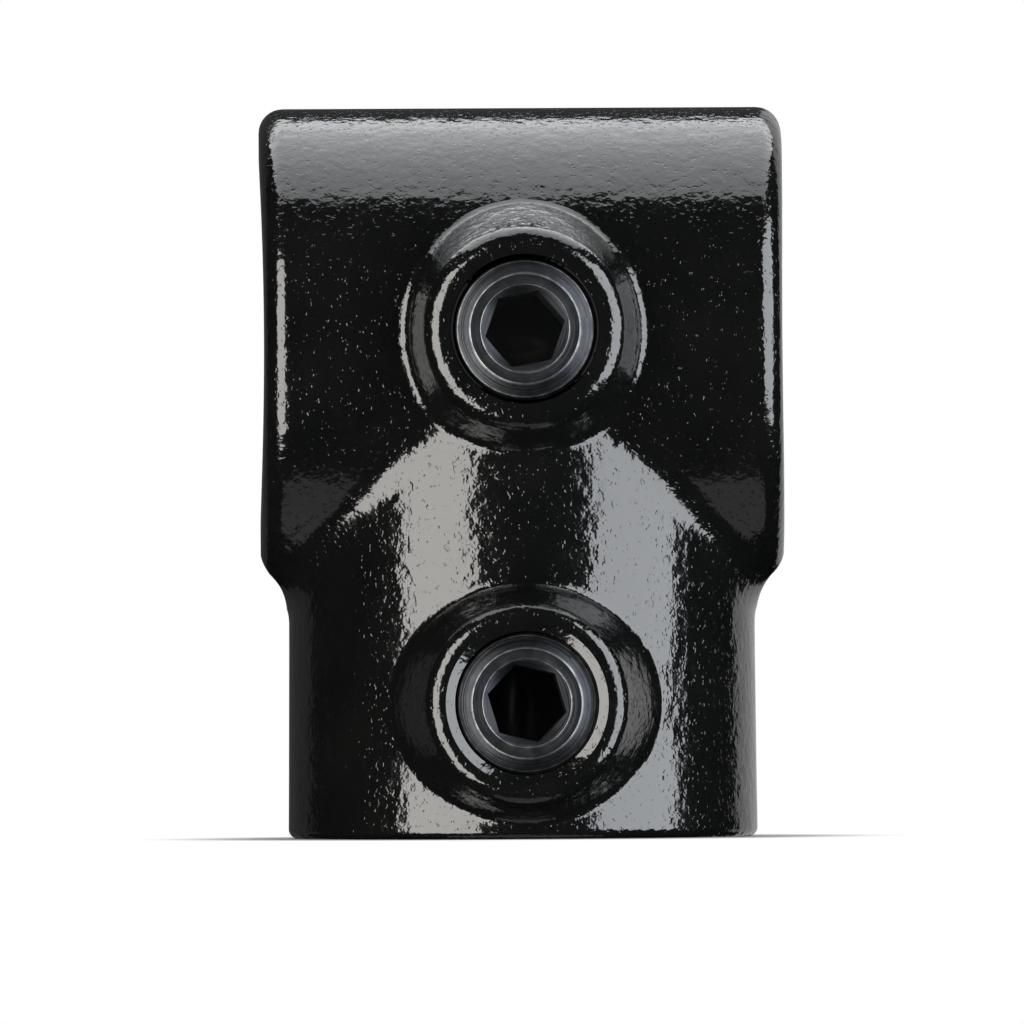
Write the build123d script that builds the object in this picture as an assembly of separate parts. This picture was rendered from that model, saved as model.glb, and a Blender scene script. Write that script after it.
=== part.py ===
from build123d import *
from math import cos, radians, sin, sqrt, tan
import os

# Tube clamp tee: one iron casting that grips a tube passing through it and the end of a branch tube,
# with a hexagon socket set screw in a boss on each collar.
# Millimetres. The origin is where the two bore axes cross: the through bore runs along X, the branch
# points down, and the screws are on the -Y side. Both bore axes lie in the parting plane, Y = 0.

# Tubes and bores
tube_diameter = 33.7            # 1 inch nominal bore steel tube
tube_clearance = 0.45           # radial gap between tube and bore
mouth_bevel = 0.6               # at each bore mouth

# Through collar
through_wall = 5.1
overhang = 2.5                  # from the branch collar's sides to the ends, at the parting plane
end_fall = 1.0                  # draft: how far the ends fall back at the front and back of the collar
through_end_rounding = 2.3
corner_rise = 2.9               # underside up to where the lower corners start to round
corner_rounding = 3.5
corner_clearance = 0.05         # keeps the cut that shapes the corners off the branch collar

# Branch collar
branch_wall = 4.95              # at the branch's end
branch_taper = 0.4              # degrees, narrowing towards the through collar
branch_end_rounding = 0.9
stop_depth = 26.4               # length of branch tube that goes in before it meets the stop
stop_lip = 3.1                  # how far the stop stands in from the bore
collar_blend = 4.0              # radius where the collars meet

# Screw bosses
boss_rise = 4.9                 # height of the flat face above the through collar
boss_face_radius = 8.95         # before its edge is rounded
boss_taper = 21.0               # degrees, side of the boss
upper_boss_rounding = 2.1       # round the edge of its face
lower_boss_rounding = 1.7
boss_foot_blend = 1.2
lower_boss_gap = 1.11           # through collar's underside to the foot of the lower boss
lower_boss_margin = 1.61        # from there to the branch's end

# Threads, as plain holes and shanks: 1/4 inch pipe thread
thread_major = 13.157
thread_gap = 0.05               # radial running gap between screw and hole
upper_hole_bevel = 0.2          # across the bevels at the holes' mouths
lower_hole_bevel = 0.85
hole_bevel_slope = 28.0         # degrees, how steeply they go in from the boss faces

# Set screws
screw_length = 9.5
rim_bevel = 1.5                 # across the rim of the outer end
rim_fall = 0.9                  # the same bevel, along the axis
key_flats = 6.45                # across the flats of the hexagon socket
sink_margin = 0.35              # the cone at the socket's mouth, beyond the hexagon's corners
sink_slope = 40.0               # degrees, that cone from the end face
point_bevel = 1.0               # lead into the thread at the cup point
cup_rim = 0.6                   # flat ring round the cup
cup_depth = 1.2

# Where the screws stand, measured out from their boss faces, and how far their hexagons are turned
upper_screw_proud = 0.3
lower_screw_proud = -0.4
upper_screw_turn = 10.7         # degrees
lower_screw_turn = 46.6

# Worked out from the sizes above
bore_radius = tube_diameter / 2 + tube_clearance
through_radius = bore_radius + through_wall
branch_end_radius = bore_radius + branch_wall
through_length = 2 * (branch_end_radius + overhang)
face_distance = through_radius + boss_rise
hole_radius = thread_major / 2 + thread_gap
boss_foot = boss_face_radius + (face_distance - branch_end_radius) * tan(radians(boss_taper))
lower_screw_height = -through_radius - lower_boss_gap - boss_foot
branch_reach = boss_foot + lower_boss_margin - lower_screw_height   # through bore axis to the branch's end
upper_screw_height = 0.0
overrun = 10.0                  # how far cutting and trimming shapes pass the surface


def along_x(shape):
    """Lay a shape made on the Z axis along the X axis."""
    return Rot(0, 90, 0) * shape


def facing_front(shape, height):
    """Turn a shape made on the Z axis to face -Y, on an axis at this height."""
    return Pos(0, 0, height) * Rot(90, 0, 0) * shape


def crossed_collars():
    """The two collars, crossing at right angles, with the crease between them blended."""
    through = along_x(Cylinder(through_radius, through_length + 2 * overrun))
    narrow_radius = branch_end_radius - branch_reach * tan(radians(branch_taper))
    branch = Pos(0, 0, -branch_reach / 2) * Cone(branch_end_radius, narrow_radius, branch_reach)
    crossed = through + branch
    return fillet(crossed.edges().filter_by(GeomType.BSPLINE), collar_blend)


def end_trim():
    """A block with the through collar's end faces, each a slow curve that falls back from Y = 0."""
    half = through_length / 2
    crown_radius = (through_radius ** 2 + end_fall ** 2) / (2 * end_fall)
    side = face_distance + overrun
    back = half - (crown_radius - sqrt(crown_radius ** 2 - side ** 2))
    outline = [
        ThreePointArc((back, -side), (half, 0), (back, side)),
        Line((back, side), (-back, side)),
        ThreePointArc((-back, side), (-half, 0), (-back, -side)),
        Line((-back, -side), (back, -side)),
    ]
    height = branch_reach + through_radius + overrun
    return Pos(0, 0, -branch_reach) * extrude(make_face(Wire(outline)), height)


def corner_cut(side):
    """What is cut from a lower corner of the through collar: a rounding, then a hollow to the branch."""
    along = sin(radians(45))        # each of the two arcs turns through 45 degrees
    across = 1 - cos(radians(45))
    half = through_length / 2
    start = corner_rise - through_radius
    knee = half - corner_rounding * across
    knee_height = start - corner_rounding * along
    waist = branch_end_radius + corner_clearance
    foot = knee_height - (knee - waist) / across * along
    corners = ((half, start), (knee, knee_height), (waist, foot), (waist, -branch_reach),
               (half + overrun, -branch_reach), (half + overrun, start))
    points = [(side * x, z) for x, z in corners]
    outline = [
        TangentArc(points[0], points[1], tangent=(0, -1)),
        TangentArc(points[1], points[2], tangent=(-side, -1)),
        *Polyline(*points[2:], points[0]).edges(),
    ]
    thickness = 2 * face_distance
    return Pos(0, face_distance, 0) * Rot(90, 0, 0) * extrude(make_face(Wire(outline)), thickness)


def trimmed_collars():
    """The collars cut to length, with the through collar's end edges and lower corners rounded."""
    body = crossed_collars() & end_trim()
    half = through_length / 2
    reach = 2 * end_fall        # an end face lies within this of its highest point
    end_faces = [
        face for face in body.faces()
        if face.bounding_box().size.X < reach and abs(face.center().X) > half - reach
    ]
    body = fillet([edge for face in end_faces for edge in face.edges()], through_end_rounding)
    return body - corner_cut(1) - corner_cut(-1)


def boss(height):
    """A tapered boss that stands out of a collar, with a flat face for the screw."""
    depth = face_distance - bore_radius / 2
    foot_radius = boss_face_radius + depth * tan(radians(boss_taper))
    cone = Pos(0, 0, face_distance - depth / 2) * Cone(foot_radius, boss_face_radius, depth)
    return facing_front(cone, height) & end_trim()


def with_boss(body, height, rounding):
    """Add a boss to the body, blend its foot and round the edge of its face."""
    body = body + boss(height)
    near = boss_face_radius / 2
    sides = [
        face for face in body.faces().filter_by(GeomType.CONE)
        if face.bounding_box().min.Y < -through_radius and abs(face.bounding_box().center().Z - height) < near
    ]
    foot = [edge for edge in sides[0].edges() if edge.geom_type not in (GeomType.LINE, GeomType.CIRCLE)]
    body = fillet(foot, boss_foot_blend)
    rims = [
        edge for edge in body.edges().filter_by(GeomType.CIRCLE)
        if edge.bounding_box().max.Y < -through_radius and abs(edge.arc_center.Z - height) < near
    ]
    return fillet(rims[0], rounding)


def bored(body):
    """Cut the two bores and the smaller opening that joins them above the stop, and bevel the mouths."""
    through_bore = along_x(Cylinder(bore_radius, through_length + 2 * overrun))
    body = body - Rot(180, 0, 0) * through_bore     # turned so that its seam line is along the top
    socket_length = stop_depth + overrun
    socket = Cylinder(bore_radius, socket_length)
    body = body - Pos(0, 0, -branch_reach + stop_depth - socket_length / 2) * socket
    opening_length = branch_reach - stop_depth
    body = body - Pos(0, 0, -opening_length / 2) * Cylinder(bore_radius - stop_lip, opening_length)

    mouths = []
    for edge in body.edges():
        box = edge.bounding_box()
        at_through_end = abs(box.center().X) > through_length / 2 - 2 * end_fall
        if at_through_end and abs(box.size.Z - 2 * bore_radius) < 0.1:
            mouths.append(edge)
        at_branch_end = box.max.Z < -branch_reach + 0.01
        if at_branch_end and abs(box.size.X - 2 * bore_radius) < 0.1:
            mouths.append(edge)
    return chamfer(mouths, mouth_bevel)


def with_threaded_hole(body, height, bevel):
    """Drill through a boss into the bore behind it, and bevel the hole's mouth."""
    depth = face_distance + overrun
    hole = Pos(0, 0, depth / 2) * Cylinder(hole_radius, depth)
    bevel_depth = bevel * tan(radians(hole_bevel_slope))
    mouth = Pos(0, 0, face_distance - bevel_depth / 2) * Cone(hole_radius, hole_radius + bevel, bevel_depth)
    return body - facing_front(hole, height) - facing_front(mouth, height)


def cast_body():
    body = with_boss(trimmed_collars(), upper_screw_height, upper_boss_rounding)
    body = with_boss(body, lower_screw_height, lower_boss_rounding)
    branch_edge = body.edges().filter_by(GeomType.CIRCLE).sort_by(Axis.Z)[0]
    body = bored(fillet(branch_edge, branch_end_rounding))
    body = with_threaded_hole(body, upper_screw_height, upper_hole_bevel)
    return with_threaded_hole(body, lower_screw_height, lower_hole_bevel)


def set_screw(turn):
    """A set screw on the Z axis, its outer end at Z = 0 and its cup point down."""
    shank = thread_major / 2
    corner = key_flats / sqrt(3)
    point = shank - point_bevel
    cup = point - cup_rim
    sink = corner + sink_margin
    sink_bottom = -sink * tan(radians(sink_slope))
    outline = Polyline(
        (0, sink_bottom), (sink, 0), (shank - rim_bevel, 0), (shank, -rim_fall),
        (shank, point_bevel - screw_length), (point, -screw_length), (cup, -screw_length),
        (0, cup_depth * cup / (cup - corner) - screw_length), close=True,
    )
    blank = revolve(Plane.XZ * make_face(outline), Axis.Z)
    hexagon = RegularPolygon(key_flats / 2, 6, major_radius=False, rotation=turn)
    return blank - Pos(0, 0, -screw_length) * extrude(hexagon, screw_length)


def seated(screw, height, proud):
    """Put a screw in its hole, with its outer end this far above the boss face."""
    return facing_front(Pos(0, 0, face_distance + proud) * screw, height)


parts = {
    "cast_body": cast_body(),
    "upper_set_screw": seated(set_screw(upper_screw_turn), upper_screw_height, upper_screw_proud),
    "lower_set_screw": seated(set_screw(lower_screw_turn), lower_screw_height, lower_screw_proud),
}
os.makedirs("parts", exist_ok=True)
for name, shape in parts.items():
    shape.label = name
    export_step(shape, f"parts/{name}.step")
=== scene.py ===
import math
import bpy
import numpy as np
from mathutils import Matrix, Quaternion, Vector


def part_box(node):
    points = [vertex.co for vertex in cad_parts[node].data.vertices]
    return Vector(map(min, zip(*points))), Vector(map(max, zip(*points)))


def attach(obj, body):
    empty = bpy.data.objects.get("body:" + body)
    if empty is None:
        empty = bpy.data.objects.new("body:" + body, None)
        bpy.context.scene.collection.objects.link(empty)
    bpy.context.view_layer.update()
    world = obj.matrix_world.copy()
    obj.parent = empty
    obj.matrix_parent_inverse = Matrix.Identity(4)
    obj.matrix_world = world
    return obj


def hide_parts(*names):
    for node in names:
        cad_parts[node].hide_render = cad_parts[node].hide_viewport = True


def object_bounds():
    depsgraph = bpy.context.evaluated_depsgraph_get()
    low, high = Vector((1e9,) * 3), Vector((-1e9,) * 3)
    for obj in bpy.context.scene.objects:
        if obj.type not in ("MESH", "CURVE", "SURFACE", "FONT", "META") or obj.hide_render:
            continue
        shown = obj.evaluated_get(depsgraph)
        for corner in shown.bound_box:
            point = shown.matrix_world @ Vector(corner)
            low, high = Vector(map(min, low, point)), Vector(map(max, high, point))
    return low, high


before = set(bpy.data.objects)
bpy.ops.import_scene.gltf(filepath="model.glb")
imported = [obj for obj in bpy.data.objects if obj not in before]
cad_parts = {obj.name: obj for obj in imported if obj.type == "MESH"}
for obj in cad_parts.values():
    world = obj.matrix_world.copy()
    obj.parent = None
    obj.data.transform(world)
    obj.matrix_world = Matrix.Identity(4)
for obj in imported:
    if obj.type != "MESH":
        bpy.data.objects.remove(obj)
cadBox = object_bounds()
scene = bpy.context.scene
scene.view_settings.view_transform = "Standard"
mm = 0.001
boxCentre = (cadBox[0] + cadBox[1]) / 2
floorHeight = cadBox[0].z
print("frame loaded with", len(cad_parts), "nodes")


def direction(azimuth, elevation):
    # unit vector; azimuth 0 is the camera's side, 90 the part's right, elevation above the horizon
    a, e = math.radians(azimuth), math.radians(elevation)
    return Vector((math.sin(a) * math.cos(e), -math.cos(a) * math.cos(e), math.sin(e)))


cameraSet = {
    "distance": 0.8,  # metres in front of the bores' crossing
    "aboveFloor": 5.9 * mm,
    "aside": -13.3 * mm,  # left of the crossing
    "turn": 0.89,  # degrees that it looks to the right of straight ahead
    "tilt": 1.79,  # degrees upwards
    "roll": -0.35,  # degrees round its line of sight
    "lens": 296.1,  # focal length and sensor width, both in mm
    "sensor": 36,
}


def makeCamera(s):
    data = bpy.data.cameras.new("camera")
    data.lens = s["lens"]
    data.sensor_width = s["sensor"]
    camera = bpy.data.objects.new("camera", data)
    scene.collection.objects.link(camera)
    camera.location = (s["aside"], -s["distance"], floorHeight + s["aboveFloor"])
    ahead = -direction(-s["turn"], -s["tilt"])
    look = ahead.to_track_quat("-Z", "Y")
    camera.rotation_mode = "QUATERNION"
    camera.rotation_quaternion = look @ Quaternion((0, 0, 1), math.radians(s["roll"]))
    scene.camera = camera


makeCamera(cameraSet)
print("camera placed")


softboxes = {
    # name: azimuth and elevation of its middle, width and height, all in degrees,
    # then its level, the share of it left at the upper edge, and its colour
    "overhead": (180, 75, 70, 64, 2.35, 0.5, (0.95, 0.98, 1.0)),
    "left": (-42.5, -4, 37, 78, 3.9, 1.0, (1.0, 0.98, 0.94)),
    "right": (57, 8, 46, 72, 3.4, 1.0, (0.92, 0.96, 1.0)),
}
tentSet = {
    "radius": 1.6,
    "heights": (-90, -70, -20, 38, 90),  # elevations of the seams between its rows of cloth
    "turns": (-128, 129, 172, 232),  # azimuths of the seams in the row at the part's own height
    "glow": (0.25, 0, 0.55, 0.06),  # of the foot, the black cloth, the pale cloth and the grey cloth
    "grid": (49, 13),  # points along and up each piece of cloth
    "lampDistance": 1.0,  # of the softboxes from the part's middle
    "lampPower": 4,  # for each square metre of a softbox, so that its face shines at level 1
    "roomLight": 0.3,  # the world's level, except where the eye or gloss sees it
}
floorSet = {
    "halfWidth": 8.0,
    # mid grey near the part: a painted shadow round its foot, fading into the white background
    "colour": (0.45, 0.45, 0.45, 1),
    "fade": (0.024, 0.038),  # over these distances it becomes the white background
}


def add(tree, kind, inputs=None, **settings):
    # one node, with its settings and its unlinked inputs
    node = tree.nodes.new("ShaderNode" + kind)
    for key, value in settings.items():
        setattr(node, key, value)
    for key, value in (inputs or {}).items():
        node.inputs[key].default_value = value
    return node


def softbox(name, azimuth, elevation, wide, tall, level, left, colour):
    # a rectangular lamp that faces the part and fills the given angles as seen from it; its level falls
    # evenly from the lower edge to the upper one
    away = tentSet["lampDistance"]
    lamp = bpy.data.lights.new(name, "AREA")
    lamp.shape = "RECTANGLE"
    lamp.size = 2 * away * math.tan(math.radians(wide / 2))
    lamp.size_y = 2 * away * math.tan(math.radians(tall / 2))
    lamp.energy = level * tentSet["lampPower"] * lamp.size * lamp.size_y
    lamp.color = colour
    lamp.use_nodes = True
    tree = lamp.node_tree
    place, split = add(tree, "NewGeometry"), add(tree, "SeparateXYZ")
    fall = add(tree, "MapRange", {"To Min": 1.0, "To Max": left})
    tree.links.new(place.outputs["Parametric"], split.inputs[0])
    tree.links.new(split.outputs["Y"], fall.inputs["Value"])
    tree.links.new(fall.outputs["Result"], tree.nodes["Emission"].inputs["Strength"])
    box = bpy.data.objects.new(name, lamp)
    scene.collection.objects.link(box)
    out = direction(azimuth, elevation)
    box.location = boxCentre + away * out
    box.rotation_mode = "QUATERNION"
    box.rotation_quaternion = (-out).to_track_quat("-Z", "Y")
    box.visible_camera = False


def gridMesh(name, points, closedU=False, closedV=False):
    # points is an array of rows, columns and x y z; neighbours become quads, and a closed way wraps round
    rows, columns = points.shape[:2]
    index = np.arange(rows * columns).reshape(rows, columns)
    i = np.arange(rows if closedU else rows - 1)[:, None]
    j = np.arange(columns if closedV else columns - 1)[None, :]
    ni, nj = (i + 1) % rows, (j + 1) % columns
    quads = np.stack([index[i, j], index[i, nj], index[ni, nj], index[ni, j]], axis=-1).reshape(-1, 4)
    mesh = bpy.data.meshes.new(name)
    mesh.from_pydata(points.reshape(-1, 3), [], quads)
    mesh.update()
    return mesh


def addPiece(name, mesh, material):
    piece = bpy.data.objects.new(name, mesh)
    scene.collection.objects.link(piece)
    mesh.materials.append(material)
    return piece


def emptyMaterial(name):
    material = bpy.data.materials.new(name)
    material.use_nodes = True
    material.node_tree.nodes.clear()
    return material, material.node_tree


def domePatch(name, azimuths, elevations, material):
    # part of a sphere round the part's foot: each point is the direction of an azimuth and
    # an elevation from the two ranges, times the tent's radius
    along, up = tentSet["grid"]
    a = np.radians(np.linspace(*azimuths, along))[:, None]
    e = np.radians(np.linspace(*elevations, up))[None, :]
    points = np.stack([np.sin(a) * np.cos(e), -np.cos(a) * np.cos(e), np.sin(e) + 0 * a], axis=-1)
    points *= tentSet["radius"]
    points[..., 2] += floorHeight
    patch = addPiece(name, gridMesh(name, points), material)
    patch.visible_camera = False


def tentCloth(name, level):
    # black at level 0, and otherwise a cloth that glows faintly
    material, tree = emptyMaterial(name)
    cloth = add(tree, "Emission", {"Color": (1, 1, 1, 1), "Strength": level})
    out = add(tree, "OutputMaterial")
    tree.links.new(cloth.outputs[0], out.inputs["Surface"])
    return material


def seenByEye(tree):
    # 1 for rays from the camera, from gloss and through glass, 0 for the rest
    path = add(tree, "LightPath")
    glossy = add(tree, "Math", operation="MAXIMUM")
    every = add(tree, "Math", operation="MAXIMUM")
    tree.links.new(path.outputs["Is Camera Ray"], glossy.inputs[0])
    tree.links.new(path.outputs["Is Glossy Ray"], glossy.inputs[1])
    tree.links.new(glossy.outputs[0], every.inputs[0])
    tree.links.new(path.outputs["Is Transmission Ray"], every.inputs[1])
    return every.outputs[0]


def floorWithPaintedShadow(s):
    # mid grey near the part, a painted shadow round its foot over the shadow the part really casts there, and
    # for the eye a white background further out
    material, tree = emptyMaterial("floorWithPaintedShadow")
    place = add(tree, "NewGeometry")
    flat = add(tree, "VectorMath", {1: (1, 1, 0)}, operation="MULTIPLY")
    away = add(tree, "VectorMath", operation="LENGTH")
    near, far = s["fade"]
    fade = add(tree, "MapRange", {"From Min": near, "From Max": far}, interpolation_type="SMOOTHSTEP")
    share = add(tree, "Math", operation="MULTIPLY")
    # this grey paint near the part is a painted shadow
    paint = add(tree, "BsdfDiffuse", {"Color": s["colour"]})
    white = add(tree, "Emission", {"Color": (1, 1, 1, 1), "Strength": 1})
    mix = add(tree, "MixShader")
    out = add(tree, "OutputMaterial")
    tree.links.new(place.outputs["Position"], flat.inputs[0])
    tree.links.new(flat.outputs[0], away.inputs[0])
    tree.links.new(away.outputs["Value"], fade.inputs["Value"])
    tree.links.new(fade.outputs["Result"], share.inputs[0])
    tree.links.new(seenByEye(tree), share.inputs[1])
    tree.links.new(share.outputs[0], mix.inputs[0])
    tree.links.new(paint.outputs[0], mix.inputs[1])
    tree.links.new(white.outputs[0], mix.inputs[2])
    tree.links.new(mix.outputs[0], out.inputs["Surface"])
    return material


def makeStudio():
    for name, values in softboxes.items():
        softbox(name, *values)
    foot, black, pale, grey = [tentCloth(f"tentCloth{i}", level) for i, level in enumerate(tentSet["glow"])]
    heights, turns, allRound = tentSet["heights"], tentSet["turns"], (0, 360)
    domePatch("tentFoot", allRound, heights[0:2], foot)
    domePatch("tentSkirt", allRound, heights[1:3], black)
    domePatch("tentSide", turns[0:2], heights[2:4], black)
    domePatch("tentPale", turns[1:3], heights[2:4], pale)
    domePatch("tentGrey", turns[2:4], heights[2:4], grey)
    domePatch("tentRoof", allRound, heights[3:5], black)
    half = floorSet["halfWidth"]
    corners = np.array([[(x, y, floorHeight) for x in (-half, half)] for y in (-half, half)])
    floor = addPiece("floor", gridMesh("floor", corners), floorWithPaintedShadow(floorSet))
    floor.visible_glossy = False  # gloss shows the tent below the floor line too
    floor.visible_shadow = False
    world = bpy.data.worlds.new("studio")
    world.use_nodes = True
    tree = world.node_tree
    background = tree.nodes["Background"]
    background.inputs["Color"].default_value = (1, 1, 1, 1)
    level = add(tree, "MapRange", {"To Min": tentSet["roomLight"], "To Max": 1.0})
    tree.links.new(seenByEye(tree), level.inputs["Value"])
    tree.links.new(level.outputs["Result"], background.inputs["Strength"])
    scene.world = world


makeStudio()
print("studio lit by", len(softboxes), "softboxes")


def patchyGroup():
    # a value that wanders between Low and High over patches of the given Size in millimetres
    group = bpy.data.node_groups.new("patchyFinish", "ShaderNodeTree")
    group.interface.new_socket("Vector", in_out="INPUT", socket_type="NodeSocketVector")
    for name in ("Size", "Low", "High"):
        group.interface.new_socket(name, in_out="INPUT", socket_type="NodeSocketFloat")
    group.interface.new_socket("Value", in_out="OUTPUT", socket_type="NodeSocketFloat")
    given, end = group.nodes.new("NodeGroupInput"), group.nodes.new("NodeGroupOutput")
    scale = add(group, "Math", {0: 1 / mm}, operation="DIVIDE")
    noise = add(group, "TexNoise", {"Detail": 3.0, "Roughness": 0.55})
    spread = add(group, "MapRange", {"From Min": 0.3, "From Max": 0.7})
    group.links.new(given.outputs["Size"], scale.inputs[1])
    group.links.new(given.outputs["Vector"], noise.inputs["Vector"])
    group.links.new(scale.outputs[0], noise.inputs["Scale"])
    group.links.new(noise.outputs["Fac"], spread.inputs["Value"])
    group.links.new(given.outputs["Low"], spread.inputs["To Min"])
    group.links.new(given.outputs["High"], spread.inputs["To Max"])
    group.links.new(spread.outputs["Result"], end.inputs["Value"])
    return group


patchyFinish = patchyGroup()


def patchy(tree, vector, size, low, high):
    node = add(tree, "Group", {"Size": size, "Low": low, "High": high}, node_tree=patchyFinish)
    tree.links.new(vector, node.inputs["Vector"])
    return node.outputs["Value"]


def blend(tree, factor, dark, light):
    # a colour between two plain ones; 6, 7 and 2 are the Mix node's sockets for colours
    node = add(tree, "Mix", {6: dark, 7: light}, data_type="RGBA")
    tree.links.new(factor, node.inputs[0])
    return node.outputs[2]


def scaled(tree, value, factor):
    node = add(tree, "Math", {1: factor}, operation="MULTIPLY")
    tree.links.new(value, node.inputs[0])
    return node.outputs[0]


def summed(tree, first, second):
    node = add(tree, "Math", operation="ADD")
    tree.links.new(first, node.inputs[0])
    tree.links.new(second, node.inputs[1])
    return node.outputs[0]


def within(tree, place, operation, other, radius):
    # 1 where the place, after this operation with the other vector, is nearer to the bores' crossing
    # than the radius in mm, and 0 elsewhere
    changed = add(tree, "VectorMath", {1: other}, operation=operation)
    away = add(tree, "VectorMath", operation="LENGTH")
    inside = add(tree, "Math", {1: radius * mm}, operation="LESS_THAN")
    tree.links.new(place, changed.inputs[0])
    tree.links.new(changed.outputs[0], away.inputs[0])
    tree.links.new(away.outputs["Value"], inside.inputs[0])
    return inside.outputs[0]


powderSet = {
    "colour": ((0.0032, 0.0034, 0.0034, 1), (0.0048, 0.005, 0.0048, 1)),
    "ior": 1.75,
    "roughness": (0.08, 0.14),
    "patches": (6.0, 1.8),  # size in mm of the patches of colour and of roughness
    "swell": (2.8, 0.07),  # size of the long waves and their height, both in mm
    "peel": (1.0, 0.078),  # orange peel, the same two
    "specks": (0.45, 0.019),  # size of the small pits and their depth
    "speckLimit": (0.63, 0.735),  # they start and end at these levels of their noise
    "bore": 17.4,  # within this radius of either bore's axis the finish is smooth
    "mouth": 6.89,  # this near to the middle of the upper hole's mouth the coat turns metallic with its near-black colour and shows no gloss
}


def powderCoat(s):
    # gloss black powder over a sand casting: long waves, orange peel and scattered pits
    material, tree = emptyMaterial("powderCoat")
    shader = add(tree, "BsdfPrincipled", {"IOR": s["ior"]})
    out = add(tree, "OutputMaterial")
    place = add(tree, "TexCoord").outputs["Object"]
    colour = blend(tree, patchy(tree, place, s["patches"][0], 0, 1), *s["colour"])
    tree.links.new(colour, shader.inputs["Base Color"])
    tree.links.new(patchy(tree, place, s["patches"][1], *s["roughness"]), shader.inputs["Roughness"])
    mouth = (0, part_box("cast_body")[0].y, 0)
    tree.links.new(within(tree, place, "SUBTRACT", mouth, s["mouth"]), shader.inputs["Metallic"])
    swell = add(tree, "TexNoise", {"Scale": 1 / mm / s["swell"][0], "Detail": 1.0})
    peel = add(tree, "TexNoise", {"Scale": 1 / mm / s["peel"][0], "Detail": 2.0, "Roughness": 0.5})
    speck = add(tree, "TexNoise", {"Scale": 1 / mm / s["specks"][0], "Detail": 1.0})
    start, end = s["speckLimit"]
    cup = add(tree, "MapRange", {"From Min": start, "From Max": end, "To Max": -1.0})
    for node in (swell, peel, speck):
        tree.links.new(place, node.inputs["Vector"])
    tree.links.new(speck.outputs["Fac"], cup.inputs["Value"])
    height = summed(tree, scaled(tree, swell.outputs["Fac"], s["swell"][1]),
                    scaled(tree, peel.outputs["Fac"], s["peel"][1]))
    height = summed(tree, height, scaled(tree, cup.outputs["Result"], s["specks"][1]))
    # without X it is the distance from the through bore's axis, and with no Z below 0 from the branch bore's
    throughBore = within(tree, place, "MULTIPLY", (0, 1, 1), s["bore"])
    branchBore = within(tree, place, "MAXIMUM", (-1, -1, 0), s["bore"])
    smooth = add(tree, "Math", operation="MAXIMUM")
    uneven = add(tree, "Math", {0: 1.0}, operation="SUBTRACT")
    bump = add(tree, "Bump", {"Distance": mm})
    tree.links.new(throughBore, smooth.inputs[0])
    tree.links.new(branchBore, smooth.inputs[1])
    tree.links.new(smooth.outputs[0], uneven.inputs[1])
    tree.links.new(uneven.outputs[0], bump.inputs["Strength"])
    tree.links.new(height, bump.inputs["Height"])
    tree.links.new(bump.outputs["Normal"], shader.inputs["Normal"])
    tree.links.new(shader.outputs[0], out.inputs["Surface"])
    return material


steelSet = {
    "oxide": (0.036, 0.039, 0.044, 1),
    # the colour of rubbed steel, also used for a painted highlight line round the screws' rims
    "bare": (0.42, 0.42, 0.43, 1),
    "roughness": (0.36, 0.46),
    "patches": (0.8, 1.2),  # size in mm of the patches of wear with the painted highlight, and of roughness
    "shownShare": (0.25, 1.0),  # share of the rub and the painted highlight that shows, from patch to patch
    "turning": (0.6, 2.2),  # waves of the tool rings in one turn, and in each mm of the profile
    "ringHeight": 0.12,  # in mm
}


def blackSteel(s):
    # black oxide on turned steel, bare and bright where its attribute of rub is high, which also holds a
    # painted highlight line round the rim
    material, tree = emptyMaterial("blackSteel")
    shader = add(tree, "BsdfPrincipled", {"Metallic": 1.0})
    out = add(tree, "OutputMaterial")
    place = add(tree, "TexCoord").outputs["Object"]
    wearAndPaintedGlint = add(tree, "Attribute", attribute_name="wearAndPaintedGlint")
    shownWearAndPaintedGlint = add(tree, "Math", operation="MULTIPLY")
    tree.links.new(wearAndPaintedGlint.outputs["Fac"], shownWearAndPaintedGlint.inputs[0])
    tree.links.new(patchy(tree, place, s["patches"][0], *s["shownShare"]), shownWearAndPaintedGlint.inputs[1])
    tree.links.new(blend(tree, shownWearAndPaintedGlint.outputs[0], s["oxide"], s["bare"]), shader.inputs["Base Color"])
    tree.links.new(patchy(tree, place, s["patches"][1], *s["roughness"]), shader.inputs["Roughness"])
    profile = add(tree, "UVMap", uv_map="turning")
    stretch = add(tree, "Mapping", {"Scale": (*s["turning"], 1.0)})
    lines = add(tree, "TexNoise", {"Scale": 1.0, "Detail": 3.0})
    tree.links.new(profile.outputs["UV"], stretch.inputs["Vector"])
    tree.links.new(stretch.outputs["Vector"], lines.inputs["Vector"])
    bump = add(tree, "Bump", {"Strength": 1.0, "Distance": mm})
    tree.links.new(scaled(tree, lines.outputs["Fac"], s["ringHeight"]), bump.inputs["Height"])
    tree.links.new(bump.outputs["Normal"], shader.inputs["Normal"])
    tree.links.new(shader.outputs[0], out.inputs["Surface"])
    return material


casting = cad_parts["cast_body"]
casting.material_slots[0].material = powderCoat(powderSet)
print("casting coated")


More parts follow.
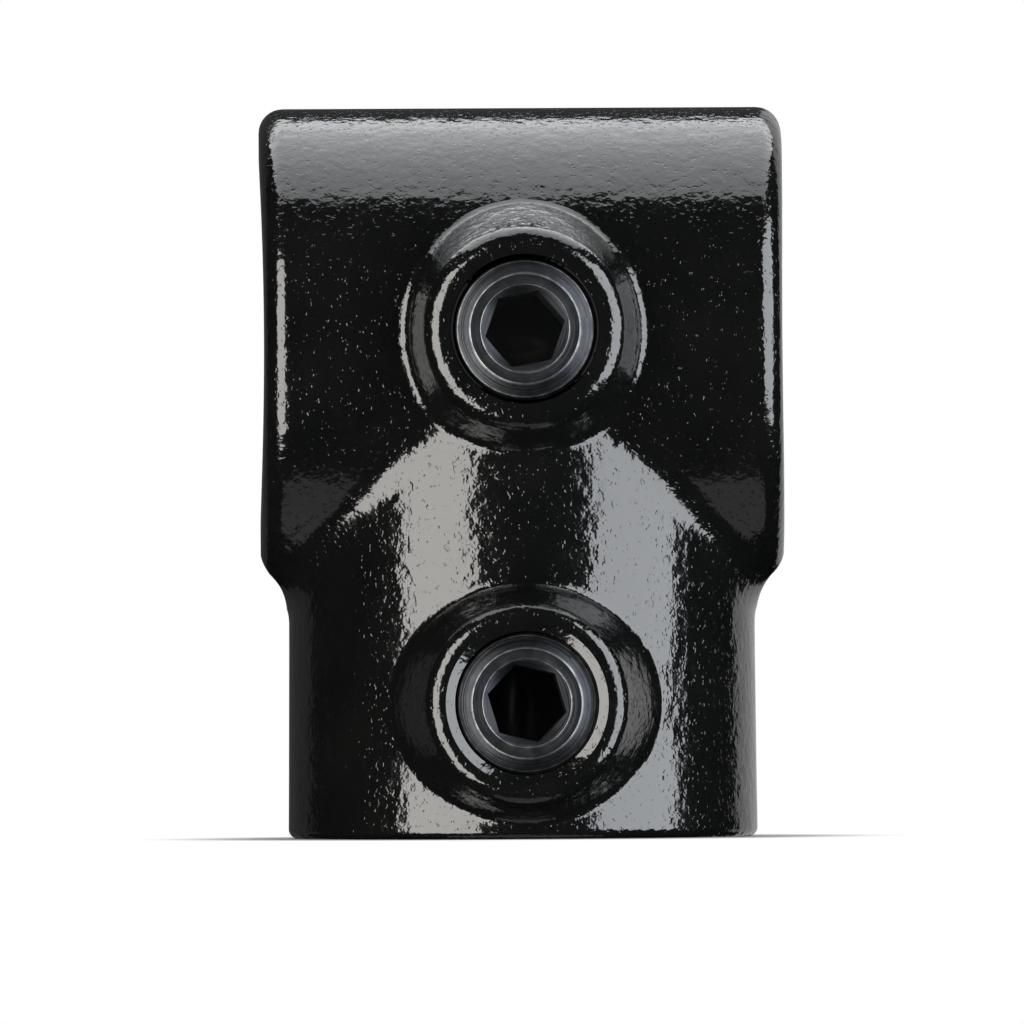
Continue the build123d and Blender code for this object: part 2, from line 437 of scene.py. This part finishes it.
screwSet = {
    # sizes in mm
    "length": 9.5,
    "major": 13.157,
    "pitch": 1.337,
    "depth": 0.856,
    "flats": 6.45,
    "landInner": 4.05,
    "landOuter": 5.08,
    "rounding": 0.08,  # of the land's edges
    "innerEdge": ((60, 1.0), (30, 1.0), (0, 0.1)),  # slopes of the rounding's rows in degrees, with their rub
    "outerEdge": ((0, 0.0), (15, 0.8), (31, 0.8)),
    "rimSlope": 0.6,  # the rim falls this much for each mm outwards
    "sinkSlope": 0.84,  # and the countersink this much inwards
    "sinkDrop": 0.4,  # share of the rounding that the countersink ends below the land
    "sinkRub": (0.3, 6),  # the rub there, and the power of the share of the way up by which it grows
    "sinkRows": 4,
    "pointBevel": 1.0,
    "cupRim": 0.6,
    "cupSlope": 0.7,
    "runIn": (0.8, 1.9),  # the thread gets deeper between these distances from the outer end
    "runInDepth": (0.1, 1.0),  # from the first to the second of these shares of its full depth
    "crest": (0.12, 0.7),  # the thread's crest is rubbed over this height, and this much
    "ring": (6.25, 0.07, 1.0),  # a painted highlight, a bright line of bare steel round the rim: its radius, half width and rub
    "wearAndPaintedGlint": {"thread": 0.05, "point": 0.6, "cup": 0.1},
    "turns": {"upper": 10.7, "lower": 46.6},  # degrees that the hexagons are turned
    "columns": 240,
    "rows": (0.1, 0.055),  # from rim to point: the first row's distance from the land, and the spacing
    "sharp": 32,  # degrees between faces from which an edge is sharp
}


def screwSurface(s):
    # Closed grid of the profile's rows by the angle's columns: the radius, the height from the land, and the
    # rub together with the painted highlight. The key's radius is half its flats over the cosine of the angle
    # from the middle of a flat. The thread's radius is the shank's less the depth times a raised cosine of
    # (height / pitch - turn), which is nearly the Whitworth form, cut off by the rim's and the point's cones.
    # The painted highlight round the rim, a line of bare steel, is a bell curve of the radius.
    t = np.linspace(0, 2 * np.pi, s["columns"], endpoint=False)[None, :]
    full = 0 * t
    shank = s["major"] / 2
    sector = t % (np.pi / 3) - np.pi / 6
    key = s["flats"] / 2 / np.cos(sector)
    rows, wearAndPaintedGlint = [], []

    def row(radius, height, bright):
        rows.append(np.broadcast_to(np.stack([radius + full, height + full], axis=-1), (1, s["columns"], 2)))
        wearAndPaintedGlint.append(np.full(1, bright))

    edge = s["rounding"]
    bright, power = s["sinkRub"]
    for share in np.linspace(0.0, 1.0, s["sinkRows"]):  # from the key's mouth up to the land
        radius = key + (s["landInner"] - key) * share
        height = (radius - s["landInner"]) * s["sinkSlope"] - s["sinkDrop"] * edge
        row(radius, height, bright * share**power)
    for slope, bright in s["innerEdge"]:
        angle = math.radians(slope)
        row(s["landInner"] + edge * (1 - math.sin(angle)), edge * (math.cos(angle) - 1), bright)
    for slope, bright in s["outerEdge"]:
        angle = math.radians(slope)
        row(s["landOuter"] - edge * (1 - math.sin(angle)), edge * (math.cos(angle) - 1), bright)
    first, spacing = s["rows"]
    height = -np.arange(first, s["length"] - spacing / 2, spacing)[:, None]
    turn = height / s["pitch"] - t / (2 * np.pi)
    deep = np.interp(-height, s["runIn"], s["runInDepth"])
    thread = shank - s["depth"] * deep * (0.5 + 0.5 * np.cos(2 * np.pi * turn))
    rim = s["landOuter"] - height / s["rimSlope"]
    point = shank - s["pointBevel"] + (height + s["length"])
    radius = np.minimum(np.minimum(thread, rim), point)
    rows.append(np.stack([radius, height + full], axis=-1))
    wearAndPaintedGlint.append(np.full(len(height), s["wearAndPaintedGlint"]["thread"]))
    pointRadius = shank - s["pointBevel"]
    cup = pointRadius - s["cupRim"]
    row(pointRadius, -s["length"], s["wearAndPaintedGlint"]["point"])
    row(cup, -s["length"], s["wearAndPaintedGlint"]["point"])
    row(key, (cup - key) * s["cupSlope"] - s["length"], s["wearAndPaintedGlint"]["cup"])
    grid = np.concatenate(rows, axis=0)
    radius, height = grid[..., 0], grid[..., 1]
    rise, bright = s["crest"]
    crest = bright * np.clip((radius - (shank - rise)) / rise, 0, 1)
    # a painted highlight: a line of bare steel round the rim
    middle, half, bright = s["ring"]
    ring = bright * np.exp(-(((radius - middle) / half) ** 2)) * (height > -s["runIn"][0])
    return t, grid, np.maximum(np.concatenate(wearAndPaintedGlint)[:, None], np.maximum(crest, ring))


def makeScrew(name, node, body, turn, material):
    # the surface turned about its axis, with its outer end where the node's is; the UV map turning holds the
    # turn and the distance along the profile
    s = screwSet
    t, grid, wearAndPaintedGlint = screwSurface(s)
    low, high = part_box(node)
    axisX, axisZ = (low.x + high.x) / 2, (low.z + high.z) / 2
    around = t + math.radians(turn)
    radius, height = grid[..., 0], grid[..., 1]
    points = np.stack([radius * np.cos(around), -height, radius * np.sin(around)], axis=-1) * mm
    points += np.array([axisX, low.y, axisZ])
    mesh = gridMesh(name, points, closedU=True, closedV=True)
    # the attribute holds the rub together with the painted highlight line
    mesh.attributes.new("wearAndPaintedGlint", "FLOAT", "POINT").data.foreach_set("value", wearAndPaintedGlint.astype(np.float32).ravel())
    step = np.linalg.norm(np.diff(grid, axis=0, prepend=grid[:1]), axis=-1).mean(axis=1)
    run = np.cumsum(step)
    uv = np.stack(np.broadcast_arrays(t / (2 * np.pi), run[:, None]), axis=-1).reshape(-1, 2)
    corner = np.zeros(len(mesh.loops), np.int32)
    mesh.loops.foreach_get("vertex_index", corner)
    mesh.uv_layers.new(name="turning").data.foreach_set("uv", uv[corner].astype(np.float32).ravel())
    screw = addPiece(name, mesh, material)
    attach(screw, body)
    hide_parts(node)
    mesh.shade_smooth()
    mesh.set_sharp_from_angle(angle=math.radians(s["sharp"]))


steel = blackSteel(steelSet)
makeScrew("upperScrew", "upper_set_screw", "upper_screw", screwSet["turns"]["upper"], steel)
makeScrew("lowerScrew", "lower_set_screw", "lower_screw", screwSet["turns"]["lower"], steel)
print("set screws threaded")
